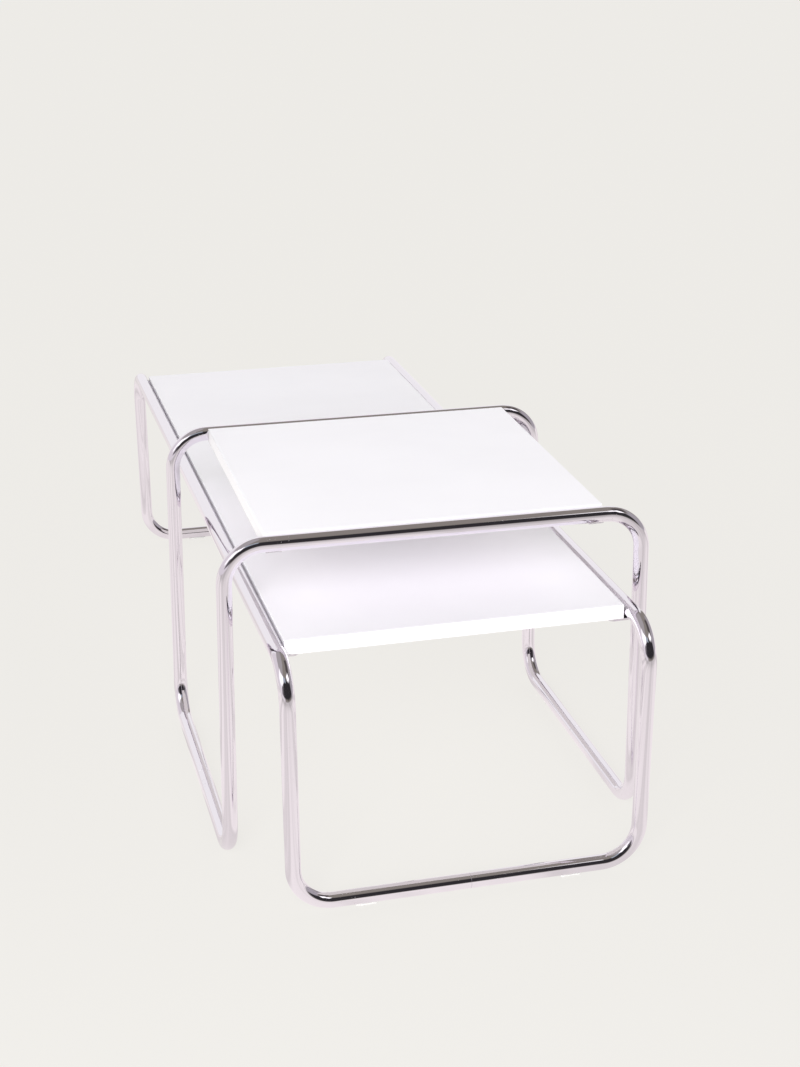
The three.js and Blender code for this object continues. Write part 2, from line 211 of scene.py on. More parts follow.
class Nodes:
    """A short way to write a node tree."""

    def __init__(self, tree):
        self.tree = tree

    def add(self, kind, **settings):
        """Adds one node."""
        node = self.tree.nodes.new(kind)
        for key, value in settings.items():
            setattr(node, key, value)
        return node

    def link(self, source, target):
        """Joins an output to an input."""
        self.tree.links.new(source, target)

    def noise(self, coordinates, scale, detail, roughness=0.5):
        """Cloudy noise from 0 to 1."""
        node = self.add("ShaderNodeTexNoise")
        node.inputs["Scale"].default_value = scale
        node.inputs["Detail"].default_value = detail
        node.inputs["Roughness"].default_value = roughness
        self.link(coordinates, node.inputs["Vector"])
        return node.outputs["Fac"]

    def stretched(self, coordinates, scale):
        """Coordinates scaled along each axis."""
        node = self.add("ShaderNodeMapping")
        node.inputs["Scale"].default_value = scale
        self.link(coordinates, node.inputs["Vector"])
        return node.outputs["Vector"]

    def ramp(self, value, low, high, low_out=0.0, high_out=1.0):
        """Goes smoothly from one output to the other as the value goes from low to high."""
        node = self.add("ShaderNodeMapRange", interpolation_type="SMOOTHSTEP")
        self.link(value, node.inputs["Value"])
        node.inputs["From Min"].default_value = low
        node.inputs["From Max"].default_value = high
        node.inputs["To Min"].default_value = low_out
        node.inputs["To Max"].default_value = high_out
        return node.outputs["Result"]

    def maths(self, operation, a, b=None):
        """One sum, each side of it a number or a socket."""
        node = self.add("ShaderNodeMath", operation=operation)
        for index, value in enumerate((a, b)):
            if value is None:
                continue
            if isinstance(value, (int, float)):
                node.inputs[index].default_value = value
            else:
                self.link(value, node.inputs[index])
        return node.outputs["Value"]

    def mix(self, factor, first, second):
        """Mixes two colours, each a tuple or a socket."""
        node = self.add("ShaderNodeMix", data_type="RGBA")
        for name, value in (("Factor", factor), ("A", first), ("B", second)):
            socket = [s for s in node.inputs if s.name == name and s.enabled][0]
            if isinstance(value, tuple):
                socket.default_value = (*value, 1.0)
            elif isinstance(value, (int, float)):
                socket.default_value = value
            else:
                self.link(value, socket)
        return [s for s in node.outputs if s.enabled][0]

    def bump(self, height, strength, distance, normal=None):
        """A normal tilted by a height, on top of another normal if one is given."""
        node = self.add("ShaderNodeBump")
        node.inputs["Strength"].default_value = strength
        node.inputs["Distance"].default_value = distance
        self.link(height, node.inputs["Height"])
        if normal is not None:
            self.link(normal, node.inputs["Normal"])
        return node.outputs["Normal"]


def new_material(name):
    """A new material with its node helpers, its main shader and the piece's own coordinates."""
    material = bpy.data.materials.new(name)
    material.use_nodes = True
    nodes = Nodes(material.node_tree)
    shader = material.node_tree.nodes["Principled BSDF"]
    place = nodes.add("ShaderNodeTexCoord").outputs["Object"]
    return material, nodes, shader, place


# ---------------------------------------------------------------- materials


def chrome_material(name, roughness, tint, pits):
    """Chrome plate with a faint polishing haze, long shallow waves and a few tiny pits."""
    material, nodes, shader, place = new_material(name)
    shader.inputs["Metallic"].default_value = 1.0
    haze = nodes.noise(place, scale=38.0, detail=4.0)
    pit_cells = nodes.add("ShaderNodeTexVoronoi")
    pit_cells.inputs["Scale"].default_value = 300.0
    nodes.link(place, pit_cells.inputs["Vector"])
    pit_core = nodes.ramp(pit_cells.outputs["Distance"], 0.10, 0.20, 1.0, 0.0)
    pit_area = nodes.ramp(nodes.noise(place, scale=24.0, detail=3.0), 0.56, 0.68)
    pit = nodes.maths("MULTIPLY", nodes.maths("MULTIPLY", pit_core, pit_area), pits)
    dull = tuple(0.92 * channel for channel in tint)
    nodes.link(nodes.mix(pit, tint, dull), shader.inputs["Base Color"])
    polish = nodes.ramp(haze, 0.35, 0.75, roughness * 0.8, roughness * 1.7)
    rough_pit = nodes.maths("MULTIPLY", pit, 0.35)
    nodes.link(nodes.maths("ADD", polish, rough_pit), shader.inputs["Roughness"])
    swell = nodes.noise(place, scale=11.0, detail=1.0)
    waves = nodes.bump(swell, strength=0.2, distance=0.0006)
    depth = nodes.maths("SUBTRACT", 1.0, pit)
    dents = nodes.bump(depth, strength=0.6, distance=0.0002, normal=waves)
    nodes.link(dents, shader.inputs["Normal"])
    return material


def laminate_material(name, colour, roughness):
    """Smooth laminate with a faint orange peel, uneven sheen and a few wiped marks."""
    material, nodes, shader, place = new_material(name)
    tone = nodes.ramp(nodes.noise(place, scale=5.0, detail=4.0), 0.3, 0.7)
    shaded = tuple(0.975 * channel for channel in colour)
    nodes.link(nodes.mix(tone, shaded, colour), shader.inputs["Base Color"])
    wiped = nodes.noise(nodes.stretched(place, (3.0, 11.0, 3.0)), scale=4.0, detail=5.0)
    sheen = nodes.ramp(wiped, 0.35, 0.7, roughness * 0.9, roughness * 1.15)
    nodes.link(sheen, shader.inputs["Roughness"])
    shader.inputs["Specular IOR Level"].default_value = 0.35
    grain = nodes.noise(place, scale=900.0, detail=2.0)
    peel = nodes.bump(grain, strength=0.06, distance=0.00005)
    nodes.link(peel, shader.inputs["Normal"])
    return material


def particle_board_material():
    """Pressed wood chips in several browns, each a shallow bump."""
    material, nodes, shader, place = new_material("particle_board")
    chips = nodes.add("ShaderNodeTexVoronoi")
    chips.inputs["Scale"].default_value = 350.0
    nodes.link(nodes.stretched(place, (1.0, 0.6, 2.5)), chips.inputs["Vector"])
    chip_tone = nodes.add("ShaderNodeSeparateColor")
    nodes.link(chips.outputs["Color"], chip_tone.inputs["Color"])
    tone = nodes.mix(chip_tone.outputs["Red"], (0.36, 0.24, 0.13), (0.68, 0.53, 0.35))
    nodes.link(tone, shader.inputs["Base Color"])
    shader.inputs["Roughness"].default_value = 0.85
    relief = nodes.bump(chips.outputs["Distance"], strength=0.5, distance=0.0003)
    nodes.link(relief, shader.inputs["Normal"])
    return material


def steel_material(name, colour, roughness):
    """Plated or blackened fastener steel with fine turning marks and handling wear."""
    material, nodes, shader, place = new_material(name)
    shader.inputs["Metallic"].default_value = 1.0
    wear = nodes.noise(place, scale=260.0, detail=4.0, roughness=0.6)
    worn = tuple(min(1.0, 1.35 * channel) for channel in colour)
    nodes.link(nodes.mix(nodes.ramp(wear, 0.4, 0.7), colour, worn), shader.inputs["Base Color"])
    sheen = nodes.ramp(wear, 0.3, 0.7, roughness * 0.75, roughness * 1.25)
    nodes.link(sheen, shader.inputs["Roughness"])
    marks = nodes.noise(nodes.stretched(place, (1.0, 1.0, 14.0)), scale=300.0, detail=3.0)
    nodes.link(nodes.bump(marks, strength=0.25, distance=0.00008), shader.inputs["Normal"])
    return material


def glide_material():
    """Milky plastic that lets some light through, scuffed where it slides."""
    material, nodes, shader, place = new_material("clear_plastic")
    cloud = nodes.noise(place, scale=160.0, detail=3.0)
    milky = nodes.mix(cloud, (0.86, 0.85, 0.82), (0.94, 0.935, 0.92))
    nodes.link(milky, shader.inputs["Base Color"])
    shader.inputs["Transmission Weight"].default_value = 0.35
    shader.inputs["Subsurface Weight"].default_value = 0.3
    shader.inputs["Subsurface Radius"].default_value = (0.004, 0.004, 0.004)
    shader.inputs["IOR"].default_value = 1.49
    scuff = nodes.noise(nodes.stretched(place, (40.0, 900.0, 900.0)), scale=1.0, detail=4.0)
    nodes.link(nodes.ramp(scuff, 0.35, 0.65, 0.3, 0.5), shader.inputs["Roughness"])
    nodes.link(nodes.bump(scuff, strength=0.15, distance=0.00005), shader.inputs["Normal"])
    return material


# Each material once, with its colour and roughness.
chrome = chrome_material("chrome_tube", roughness=0.045, tint=(0.87, 0.825, 0.885), pits=0.8)
dull_chrome = chrome_material("chrome_tab", roughness=0.16, tint=(0.78, 0.75, 0.79), pits=1.0)
white_laminate = laminate_material("white_laminate", (0.905, 0.885, 0.925), roughness=0.38)
# The edge bands are the top's laminate painted about 5 percent darker, as shade on the boards'
# brightly lit side faces.
band_laminate_painted_shade = laminate_material("white_edge_band", (0.862, 0.847, 0.873), roughness=0.42)
backing = laminate_material("backing_laminate", (0.84, 0.82, 0.83), roughness=0.55)
particle_board = particle_board_material()
zinc = steel_material("zinc_steel", (0.60, 0.61, 0.62), roughness=0.3)
black_steel = steel_material("black_steel", (0.05, 0.05, 0.052), roughness=0.4)
clear_plastic = glide_material()


# ---------------------------------------------------------------- mesh helpers


def make_piece(name, mesh_data, table, material, replaced, smooth_angle=SMOOTH_ANGLE):
    """Turns a bmesh drawn in a table's own frame into a finished piece that rides on the table."""
    mesh = bpy.data.meshes.new(name)
    bmesh.ops.recalc_face_normals(mesh_data, faces=mesh_data.faces)
    mesh_data.to_mesh(mesh)
    mesh_data.free()
    mesh.transform(table.matrix)
    mesh.materials.append(material)
    mesh.shade_smooth()
    mesh.set_sharp_from_angle(angle=math.radians(smooth_angle))
    piece = bpy.data.objects.new(name, mesh)
    bpy.context.scene.collection.objects.link(piece)
    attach(piece, table.body)
    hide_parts(replaced)


def joined(parts):
    """Several bmeshes as one."""
    whole = bmesh.new()
    for part in parts:
        mesh = bpy.data.meshes.new("part")
        part.to_mesh(mesh)
        part.free()
        whole.from_mesh(mesh)
        bpy.data.meshes.remove(mesh)
    return whole


def box_mesh(low, high, arris=0.0):
    """A box between two corners. An arris rounds its edges."""
    made = bmesh.new()
    bmesh.ops.create_cube(made, size=1.0)
    size = Vector(high) - Vector(low)
    middle = (Vector(high) + Vector(low)) / 2
    bmesh.ops.scale(made, vec=size, verts=made.verts)
    bmesh.ops.translate(made, vec=middle, verts=made.verts)
    if arris:
        bmesh.ops.bevel(
            made,
            geom=list(made.edges),
            offset=arris,
            segments=ARRIS_STEPS,
            profile=0.5,
            affect="EDGES",
        )
    return made


def ring_stack(rings, close_ends=True):
    """Joins rings of points, each with the same count, into a skin. The ends may be capped."""
    made = bmesh.new()
    loops = [[made.verts.new(point) for point in ring] for ring in rings]
    count = len(loops[0])
    for lower, upper in zip(loops, loops[1:]):
        for i in range(count):
            j = (i + 1) % count
            made.faces.new((lower[i], lower[j], upper[j], upper[i]))
    if close_ends:
        made.faces.new(loops[0])
        made.faces.new(loops[-1])
    return made


def turned_mesh(profile, sides=TURNED_SIDES):
    """A turned piece about the Z axis, from (radius, z) pairs. It starts and ends off the axis."""
    rings = []
    for radius, z in profile:
        ring = []
        for i in range(sides):
            angle = 2 * math.pi * i / sides
            ring.append(Vector((radius * math.cos(angle), radius * math.sin(angle), z)))
        rings.append(ring)
    return ring_stack(rings)


def moved(mesh_data, offset, turn=0.0):
    """The bmesh turned about the Z axis and then shifted."""
    place = Matrix.Translation(offset) @ Matrix.Rotation(turn, 4, "Z")
    bmesh.ops.transform(mesh_data, matrix=place, verts=mesh_data.verts)
    return mesh_data


def cut_by(body, tools):
    """Cuts one bmesh by others with an exact boolean and returns the result."""
    scene_objects = bpy.context.scene.collection.objects
    holders = []
    for mesh_data in (body, joined(tools)):
        bmesh.ops.recalc_face_normals(mesh_data, faces=mesh_data.faces)
        mesh = bpy.data.meshes.new("cutting")
        mesh_data.to_mesh(mesh)
        mesh_data.free()
        holder = bpy.data.objects.new("cutting", mesh)
        scene_objects.link(holder)
        holders.append(holder)
    modifier = holders[0].modifiers.new("cut", "BOOLEAN")
    modifier.operation = "DIFFERENCE"
    modifier.solver = "EXACT"
    modifier.object = holders[1]
    depsgraph = bpy.context.evaluated_depsgraph_get()
    result = bmesh.new()
    result.from_mesh(holders[0].evaluated_get(depsgraph).to_mesh())
    for holder in holders:
        mesh = holder.data
        bpy.data.objects.remove(holder)
        bpy.data.meshes.remove(mesh)
    return result


# ---------------------------------------------------------------- tubes


def bent_stations(start, corners, end):
    """Centre-line stations as (place, tangent, outward, bend share). The bend share runs 0-1-0."""
    stations = [(start, (corners[0] - start).normalized(), Vector(), 0.0)]
    before = start
    for index, corner in enumerate(corners):
        after = corners[index + 1] if index + 1 < len(corners) else end
        incoming = (corner - before).normalized()
        outgoing = (after - corner).normalized()
        turn = incoming.angle(outgoing)
        inward = (outgoing - incoming * math.cos(turn)).normalized()
        setback = BEND_RADIUS * math.tan(turn / 2)
        centre = corner - incoming * setback + inward * BEND_RADIUS
        stations.append((corner - incoming * (setback + STATION_LEAD), incoming, Vector(), 0.0))
        for step in range(BEND_STEPS + 1):
            angle = turn * step / BEND_STEPS
            tangent = incoming * math.cos(angle) + inward * math.sin(angle)
            outward = incoming * math.sin(angle) - inward * math.cos(angle)
            share = math.sin(math.pi * step / BEND_STEPS) ** 2
            stations.append((centre + outward * BEND_RADIUS, tangent, outward, share))
        stations.append((corner + outgoing * (setback + STATION_LEAD), outgoing, Vector(), 0.0))
        before = corner
    stations.append((end, (end - corners[-1]).normalized(), Vector(), 0.0))
    return stations


def tube_rings(stations, radius):
    """Rings of points round the centre line, without twist, flatter on the outside of bends."""
    rings = []
    side = Vector((0, 0, 1)).cross(stations[0][1]).normalized()
    last = stations[0][1]
    for place, tangent, outward, share in stations:
        side = last.rotation_difference(tangent) @ side
        last = tangent
        other = tangent.cross(side)
        ring = []
        for i in range(SECTION_SIDES):
            angle = 2 * math.pi * i / SECTION_SIDES
            arm = side * math.cos(angle) + other * math.sin(angle)
            towards_outside = max(0.0, arm.dot(outward))
            reach = radius * (1 - BEND_FLATTENING * share * towards_outside**2)
            ring.append(place + arm * reach)
        rings.append(ring)
    return rings


def half_frame_mesh(table):
    """The bent tube on the table's -Y side, hollow, with eased ends and holes from below."""
    low_z, high_z = table.runner_z, table.rail_z
    runner_x = table.runner_x
    rail_x = runner_x - (high_z - low_z) * math.tan(LEG_SPLAY[table.name])
    rail_y = -table.rail_y
    foot_y = rail_y + (high_z - low_z) * math.tan(LEG_LEAN[table.name])
    stations = bent_stations(
        Vector((-runner_x, -SEAM_GAP / 2, low_z)),
        [
            Vector((-runner_x, foot_y, low_z)),
            Vector((-rail_x, rail_y, high_z)),
            Vector((rail_x, rail_y, high_z)),
            Vector((runner_x, foot_y, low_z)),
        ],
        Vector((runner_x, -SEAM_GAP / 2, low_z)),
    )
    first, last = stations[0], stations[-1]
    stations.insert(1, (first[0] + first[1] * SEAM_CHAMFER, *first[1:]))
    stations.insert(-1, (last[0] - last[1] * SEAM_CHAMFER, *last[1:]))
    outer = tube_rings(stations, TUBE_RADIUS)
    inner = tube_rings(stations, TUBE_BORE)
    # The outer rings at both ends are drawn in a little, which eases the edges of the seam.
    for ring, station in ((outer[0], first), (outer[-1], last)):
        for index, point in enumerate(ring):
            ring[index] = point.lerp(station[0], SEAM_CHAMFER / TUBE_RADIUS)
    skin = ring_stack(outer + inner[::-1] + outer[:1], close_ends=False)
    bmesh.ops.remove_doubles(skin, verts=skin.verts, dist=SAME_POINT)
    drills = []
    side_name = table.sides["minus_y"]
    for end_name in (table.sides["minus_x"], table.sides["plus_x"]):
        for kind in ("glide", "set_screw"):
            centre = table.local_centre(f"{table.name}_{kind}_{end_name}_{side_name}")
            profile = [(RUNNER_HOLE, -OVERCUT), (RUNNER_HOLE, low_z)]
            drill = turned_mesh(profile, RUNNER_HOLE_SIDES)
            drills.append(moved(drill, (centre.x, centre.y, 0)))
    return cut_by(skin, drills)


def add_frames(table):
    """The two half frames, one the other turned about the table's middle."""
    for side_key, turn in (("minus_y", 0.0), ("plus_y", math.pi)):
        side = table.sides[side_key]
        tube = moved(half_frame_mesh(table), (0, 0, 0), turn)
        name = f"{table.name}_bent_tube_{side}"
        make_piece(name, tube, table, chrome, f"{table.name}_frame_{side}")


# ---------------------------------------------------------------- boards


def add_board_piece(table, name, mesh_data, material, node):
    """A flat part of the board, finished with the sharper smoothing limit."""
    make_piece(
        f"{table.name}_{name}",
        mesh_data,
        table,
        material,
        f"{table.name}_{node}",
        BOARD_SMOOTH_ANGLE,
    )


def add_laminates(table):
    """The white top sheet, and the backing sheet with its screw holes."""
    x, y, top, bottom = table.board_x, table.board_y, table.top, table.board_bottom
    sheet = box_mesh((-x, -y, top - LAMINATE), (x, y, top), ARRIS)
    add_board_piece(table, "laminate_sheet", sheet, white_laminate, "top_laminate")
    sheet = box_mesh((-x, -y, bottom), (x, y, bottom + LAMINATE), ARRIS / 2)
    drills = []
    for node in sorted(frame["nodes"]):
        if node.startswith(f"{table.name}_tab_screw_"):
            centre = table.local_centre(node)
            profile = [(BACKING_HOLE, bottom - OVERCUT), (BACKING_HOLE, bottom + OVERCUT)]
            drill = turned_mesh(profile, BACKING_HOLE_SIDES)
            drills.append(moved(drill, (centre.x, centre.y, 0)))
    sheet = cut_by(sheet, drills)
    add_board_piece(table, "backing_sheet", sheet, backing, "backing_laminate")


def add_bands(table):
    """Edge bands with eased edges and a hairline glue joint to the laminates and each other, in
    the top's laminate painted a little darker as shade.
    """
    x, y = table.board_x, table.board_y
    low_z = table.board_bottom + LAMINATE + GLUE_LINE
    high_z = table.top - LAMINATE - GLUE_LINE
    reach = x - BAND - GLUE_LINE
    plans = (
        ("minus_x", (-x, -y), (-(x - BAND), y)),
        ("plus_x", (x - BAND, -y), (x, y)),
        ("minus_y", (-reach, -y), (reach, -(y - BAND))),
        ("plus_y", (-reach, y - BAND), (reach, y)),
    )
    for side_key, near, far in plans:
        side = table.sides[side_key]
        band = box_mesh((*near, low_z), (*far, high_z), ARRIS / 2)
        node = f"edge_band_{side}"
        add_board_piece(table, f"band_{side}", band, band_laminate_painted_shade, node)


def finish_core(table):
    """The board's core keeps its CAD shape and takes a finished material."""
    core = frame["nodes"][f"{table.name}_board_core"]
    core.data.materials.clear()
    core.data.materials.append(particle_board)


# ---------------------------------------------------------------- small parts


def arc(centre_x, centre_y, radius, first, last):
    """Points on an arc, with its angles in degrees."""
    points = []
    for step in range(ARC_STEPS + 1):
        angle = math.radians(first + (last - first) * step / ARC_STEPS)
        x = centre_x + radius * math.cos(angle)
        y = centre_y + radius * math.sin(angle)
        points.append(Vector((x, y)))
    return points


def rounded_outline(half_x, half_y, radius):
    """A rectangle with round corners, anticlockwise."""
    x, y = half_x - radius, half_y - radius
    corners = ((x, y, 0), (-x, y, 90), (-x, -y, 180), (x, -y, 270))
    return [point for cx, cy, first in corners for point in arc(cx, cy, radius, first, first + 90)]


def inset(outline, distance):
    """The outline drawn in by a small distance. It runs anticlockwise."""
    made = []
    for index, point in enumerate(outline):
        along = outline[(index + 1) % len(outline)] - outline[index - 1]
        made.append(point + Vector((-along.y, along.x)).normalized() * distance)
    return made


def plate_mesh(outline, low_z, high_z, ease):
    """A flat plate from its outline, with the edges of both faces eased."""
    small = inset(outline, ease)
    levels = ((small, low_z), (outline, low_z + ease), (outline, high_z - ease), (small, high_z))
    return ring_stack([[Vector((p.x, p.y, z)) for p in points] for points, z in levels])


def rod_mesh(radius, length, axis, z):
    """A round rod along X or Y, centred on the given height. It is used as a cutting tool."""
    rod = turned_mesh([(radius, -length / 2), (radius, length / 2)], ROD_SIDES)
    turn = Matrix.Rotation(math.pi / 2, 4, "Y" if axis == "X" else "X")
    bmesh.ops.transform(rod, matrix=Matrix.Translation((0, 0, z)) @ turn, verts=rod.verts)
    return rod


def thread_profile(core, crest, low_z, high_z):
    """Ridges of a screw thread as (radius, z) pairs."""
    turns = int((high_z - low_z) / THREAD_PITCH)
    profile = []
    for index in range(turns):
        z = low_z + index * THREAD_PITCH
        root_z = z + THREAD_PITCH * THREAD_ROOT_SHARE
        crest_z = z + THREAD_PITCH * THREAD_CREST_SHARE
        profile += [(core, z), (core, root_z), (crest, crest_z)]
    return profile


def weld_mesh(length, z):
    """A rippled weld bead along X that tapers at both ends."""
    rings = []
    for step in range(WELD_STEPS + 1):
        share = step / WELD_STEPS
        swell = math.sin(math.pi * share) ** WELD_TAPER if 0 < share < 1 else 0.0
        ripple = 1 + WELD_RIPPLE * math.sin(share * WELD_RIPPLES * math.pi)
        radius = WELD_RADIUS * (WELD_END_SHARE + (1 - WELD_END_SHARE) * swell) * ripple
        x = length * (share - 0.5)
        ring = []
        for side in range(WELD_SIDES):
            angle = 2 * math.pi * side / WELD_SIDES
            across = radius * math.cos(angle)
            upwards = radius * WELD_HEIGHT_SHARE * math.sin(angle)
            ring.append(Vector((x, across, z + upwards)))
        rings.append(ring)
    return ring_stack(rings)


def add_tab(table, node):
    """A stamped tab with a rounded nose, welded under the rail, with a hole for its screw."""
    low, high = table.local_box(node)
    root_y, turn = (low.y, 0.0) if low.y < 0 else (high.y, math.pi)
    half_width = (high.x - low.x) / 2
    reach = high.y - low.y
    outline = [Vector((-half_width, 0)), Vector((half_width, 0))]
    outline += arc(half_width - TAB_CORNER, reach - TAB_CORNER, TAB_CORNER, 0, 90)
    outline += arc(-half_width + TAB_CORNER, reach - TAB_CORNER, TAB_CORNER, 90, 180)
    plate = plate_mesh(outline, low.z, high.z, TAB_EASE)
    screw_y = abs(root_y - table.local_centre(node.replace("_tab_", "_tab_screw_")).y)
    tube = rod_mesh(TUBE_RADIUS + FIT, 4 * half_width, "X", table.rail_z)
    hole = turned_mesh([(TAB_HOLE, low.z - OVERCUT), (TAB_HOLE, high.z + OVERCUT)])
    plate = cut_by(cut_by(plate, [tube]), [moved(hole, (0, screw_y, 0))])
    bead_z = table.rail_z - TUBE_RADIUS - WELD_RADIUS * 0.5
    bead = weld_mesh(2 * half_width - WELD_SHORT_OF_TAB, bead_z)
    whole = moved(joined([plate, bead]), (low.x + half_width, root_y, 0), turn)
    name = node.replace("_tab_", "_welded_tab_")
    make_piece(name, whole, table, dull_chrome, node)


def add_tab_screw(table, node):
    """A pan-head wood screw, head down, with a cross recess and a thread."""
    low, high = table.local_box(node)
    seat = low.z + SCREW_HEAD
    radius = (high.x - low.x) / 2
    thread_end = high.z - SCREW_TIP_LENGTH
    profile = [
        *((radius * share, low.z + height) for share, height in PAN_HEAD),
        (radius, seat),
        (SCREW_CORE, seat),
        *thread_profile(SCREW_CORE, SCREW_THREAD, seat + THREAD_RUN_OUT, thread_end),
        (SCREW_TIP, high.z),
    ]
    screw = turned_mesh(profile)
    for size_x, size_y in ((CROSS_LENGTH, CROSS_WIDTH), (CROSS_WIDTH, CROSS_LENGTH)):
        corner = Vector((size_x / 2, size_y / 2, 0))
        recess_low = Vector((0, 0, low.z - OVERCUT)) - corner
        recess_high = Vector((0, 0, low.z + CROSS_DEPTH)) + corner
        screw = cut_by(screw, [box_mesh(recess_low, recess_high)])
    centre = (low + high) / 2
    whole = moved(screw, (centre.x, centre.y, 0), SCREW_TURN)
    make_piece(node.replace("_tab_screw_", "_pan_screw_"), whole, table, zinc, node)


def add_set_screw(table, node):
    """A headless screw with a thread and a hexagon socket in its lower end."""
    low, high = table.local_box(node)
    radius = (high.x - low.x) / 2
    core = radius * SET_SCREW_CORE_SHARE
    profile = [
        (core * SET_SCREW_POINT_SHARE, low.z),
        *thread_profile(core, radius, low.z + SET_SCREW_LEAD, high.z - THREAD_RUN_OUT),
        (core * SET_SCREW_POINT_SHARE, high.z),
    ]
    socket_profile = [(SOCKET_RADIUS, low.z - OVERCUT), (SOCKET_RADIUS, low.z + SOCKET_DEPTH)]
    socket = turned_mesh(socket_profile, SOCKET_SIDES)
    centre = (low + high) / 2
    whole = moved(cut_by(turned_mesh(profile), [socket]), (centre.x, centre.y, 0))
    name = node.replace("_set_screw_", "_socket_screw_")
    make_piece(name, whole, table, black_steel, node)


def add_glide(table, node):
    """A moulded saddle under a runner with rounded ends, a hollow underside and a snap-in peg."""
    low, high = table.local_box(node)
    half_x, half_y = (high.x - low.x) / 2, (high.y - low.y) / 2
    plan = rounded_outline(half_x, half_y, GLIDE_CORNER)
    saddle = plate_mesh(plan, low.z, low.z + GLIDE_HEIGHT, GLIDE_EASE)
    tube = rod_mesh(TUBE_RADIUS + FIT, 4 * half_y, "Y", table.runner_z)
    hollow_plan = rounded_outline(half_x - GLIDE_RIM, half_y - GLIDE_RIM, GLIDE_CORNER - GLIDE_RIM)
    hollow = plate_mesh(hollow_plan, low.z - OVERCUT, low.z + GLIDE_HOLLOW, GLIDE_EASE)
    saddle = cut_by(cut_by(saddle, [tube]), [hollow])
    tip = [(PEG_RADIUS * share, high.z - depth) for share, depth in PEG_TIP]
    peg = turned_mesh([(PEG_RADIUS, low.z + PEG_ROOT), *tip])
    centre = (low + high) / 2
    whole = moved(joined([saddle, peg]), (centre.x, centre.y, 0))
    name = node.replace("_glide_", "_snap_glide_")
    make_piece(name, whole, table, clear_plastic, node)


def add_spigot(table, node):
    """The turned spigot inside a runner, with a blind hole for each set screw."""
    low, high = table.local_box(node)
    radius = (high.z - low.z) / 2
    half = (high.y - low.y) / 2
    profile = [
        (radius - SPIGOT_CHAMFER, -half),
        (radius, -half + SPIGOT_CHAMFER),
        (radius, half - SPIGOT_CHAMFER),
        (radius - SPIGOT_CHAMFER, half),
    ]
    spigot = turned_mesh(profile, SPIGOT_SIDES)
    lying = Matrix.Translation((0, 0, table.runner_z)) @ Matrix.Rotation(math.pi / 2, 4, "X")
    bmesh.ops.transform(spigot, matrix=lying, verts=spigot.verts)
    centre = (low + high) / 2
    end = node.replace(f"{table.name}_joint_spigot_", "")
    drills = []
    for side in (table.sides["minus_y"], table.sides["plus_y"]):
        screw_low, screw_high = table.local_box(f"{table.name}_set_screw_{end}_{side}")
        screw_radius = (screw_high.x - screw_low.x) / 2 + FIT
        drill = turned_mesh([(screw_radius, -OVERCUT), (screw_radius, screw_high.z + FIT)])
        drills.append(moved(drill, (0, (screw_low.y + screw_high.y) / 2, 0)))
    whole = moved(cut_by(spigot, drills), (centre.x, 0, 0))
    make_piece(node.replace("_joint_spigot_", "_spigot_"), whole, table, zinc, node)


# "tab_screw" comes before "tab", because both start alike.
SMALL_PARTS = (
    ("tab_screw", add_tab_screw),
    ("tab", add_tab),
    ("set_screw", add_set_screw),
    ("glide", add_glide),
    ("joint_spigot", add_spigot),
)


def add_small_parts(table):
    """One finished piece for each tab, screw, glide and spigot of the table."""
    for node in sorted(frame["nodes"]):
        for kind, add_part in SMALL_PARTS:
            if node.startswith(f"{table.name}_{kind}_"):
                add_part(table, node)
                break


# ---------------------------------------------------------------- stage, light and camera

FLOOR_COLOUR = (0.855, 0.838, 0.805)
# The floor's colour in polished metal: a painted reflection, brighter and pinker than the floor
# itself.
FLOOR_IN_METAL = (0.97, 0.926, 0.908)
FLOOR_SIZE = 60.0
FLOOR_BELOW_FEET = 0.0002
FLOOR_DIFFUSE_SHARE = 0.10

# In polished metal the floor has painted darker streaks that run outwards, standing in for pools
# of light and shade, and painted shade that dims it towards the camera.
STREAK_DIMMEST = 0.76
FRONT_DIMMEST = 0.64
FRONT_DIM_FROM = -0.6
FRONT_DIM_UP_TO = -2.3

# The dome is brighter near the horizon, so that light reaches in under the tall table.
DOME_LOW = (1.30, 1.30, 1.24)
DOME_LOW_UP_TO = math.radians(30)
DOME_HIGH = (0.20, 0.20, 0.20)
DOME_HIGH_FROM = math.radians(60)

# The key light is far away in front and very wide. The fill stands near the camera, in metres.
KEY_DIRECTION = (-0.3, -0.9, 0.5)
KEY_STRENGTH = 1.2
KEY_COLOUR = (0.97, 0.97, 1.10)
KEY_ANGLE = math.radians(36)
FILL_PLACE = (-0.9, -2.4, 1.1)
FILL_TARGET = (0.0, -0.6, 0.3)
FILL_SIZE = 0.9
FILL_ENERGY = 29.0

CAMERA_PLACE = (-0.6152, -2.6549, 1.2685)
CAMERA_HEADING = math.radians(14.858)
CAMERA_DOWN = math.radians(20.711)
CAMERA_LENS = 63.7
CAMERA_SENSOR = 36.0


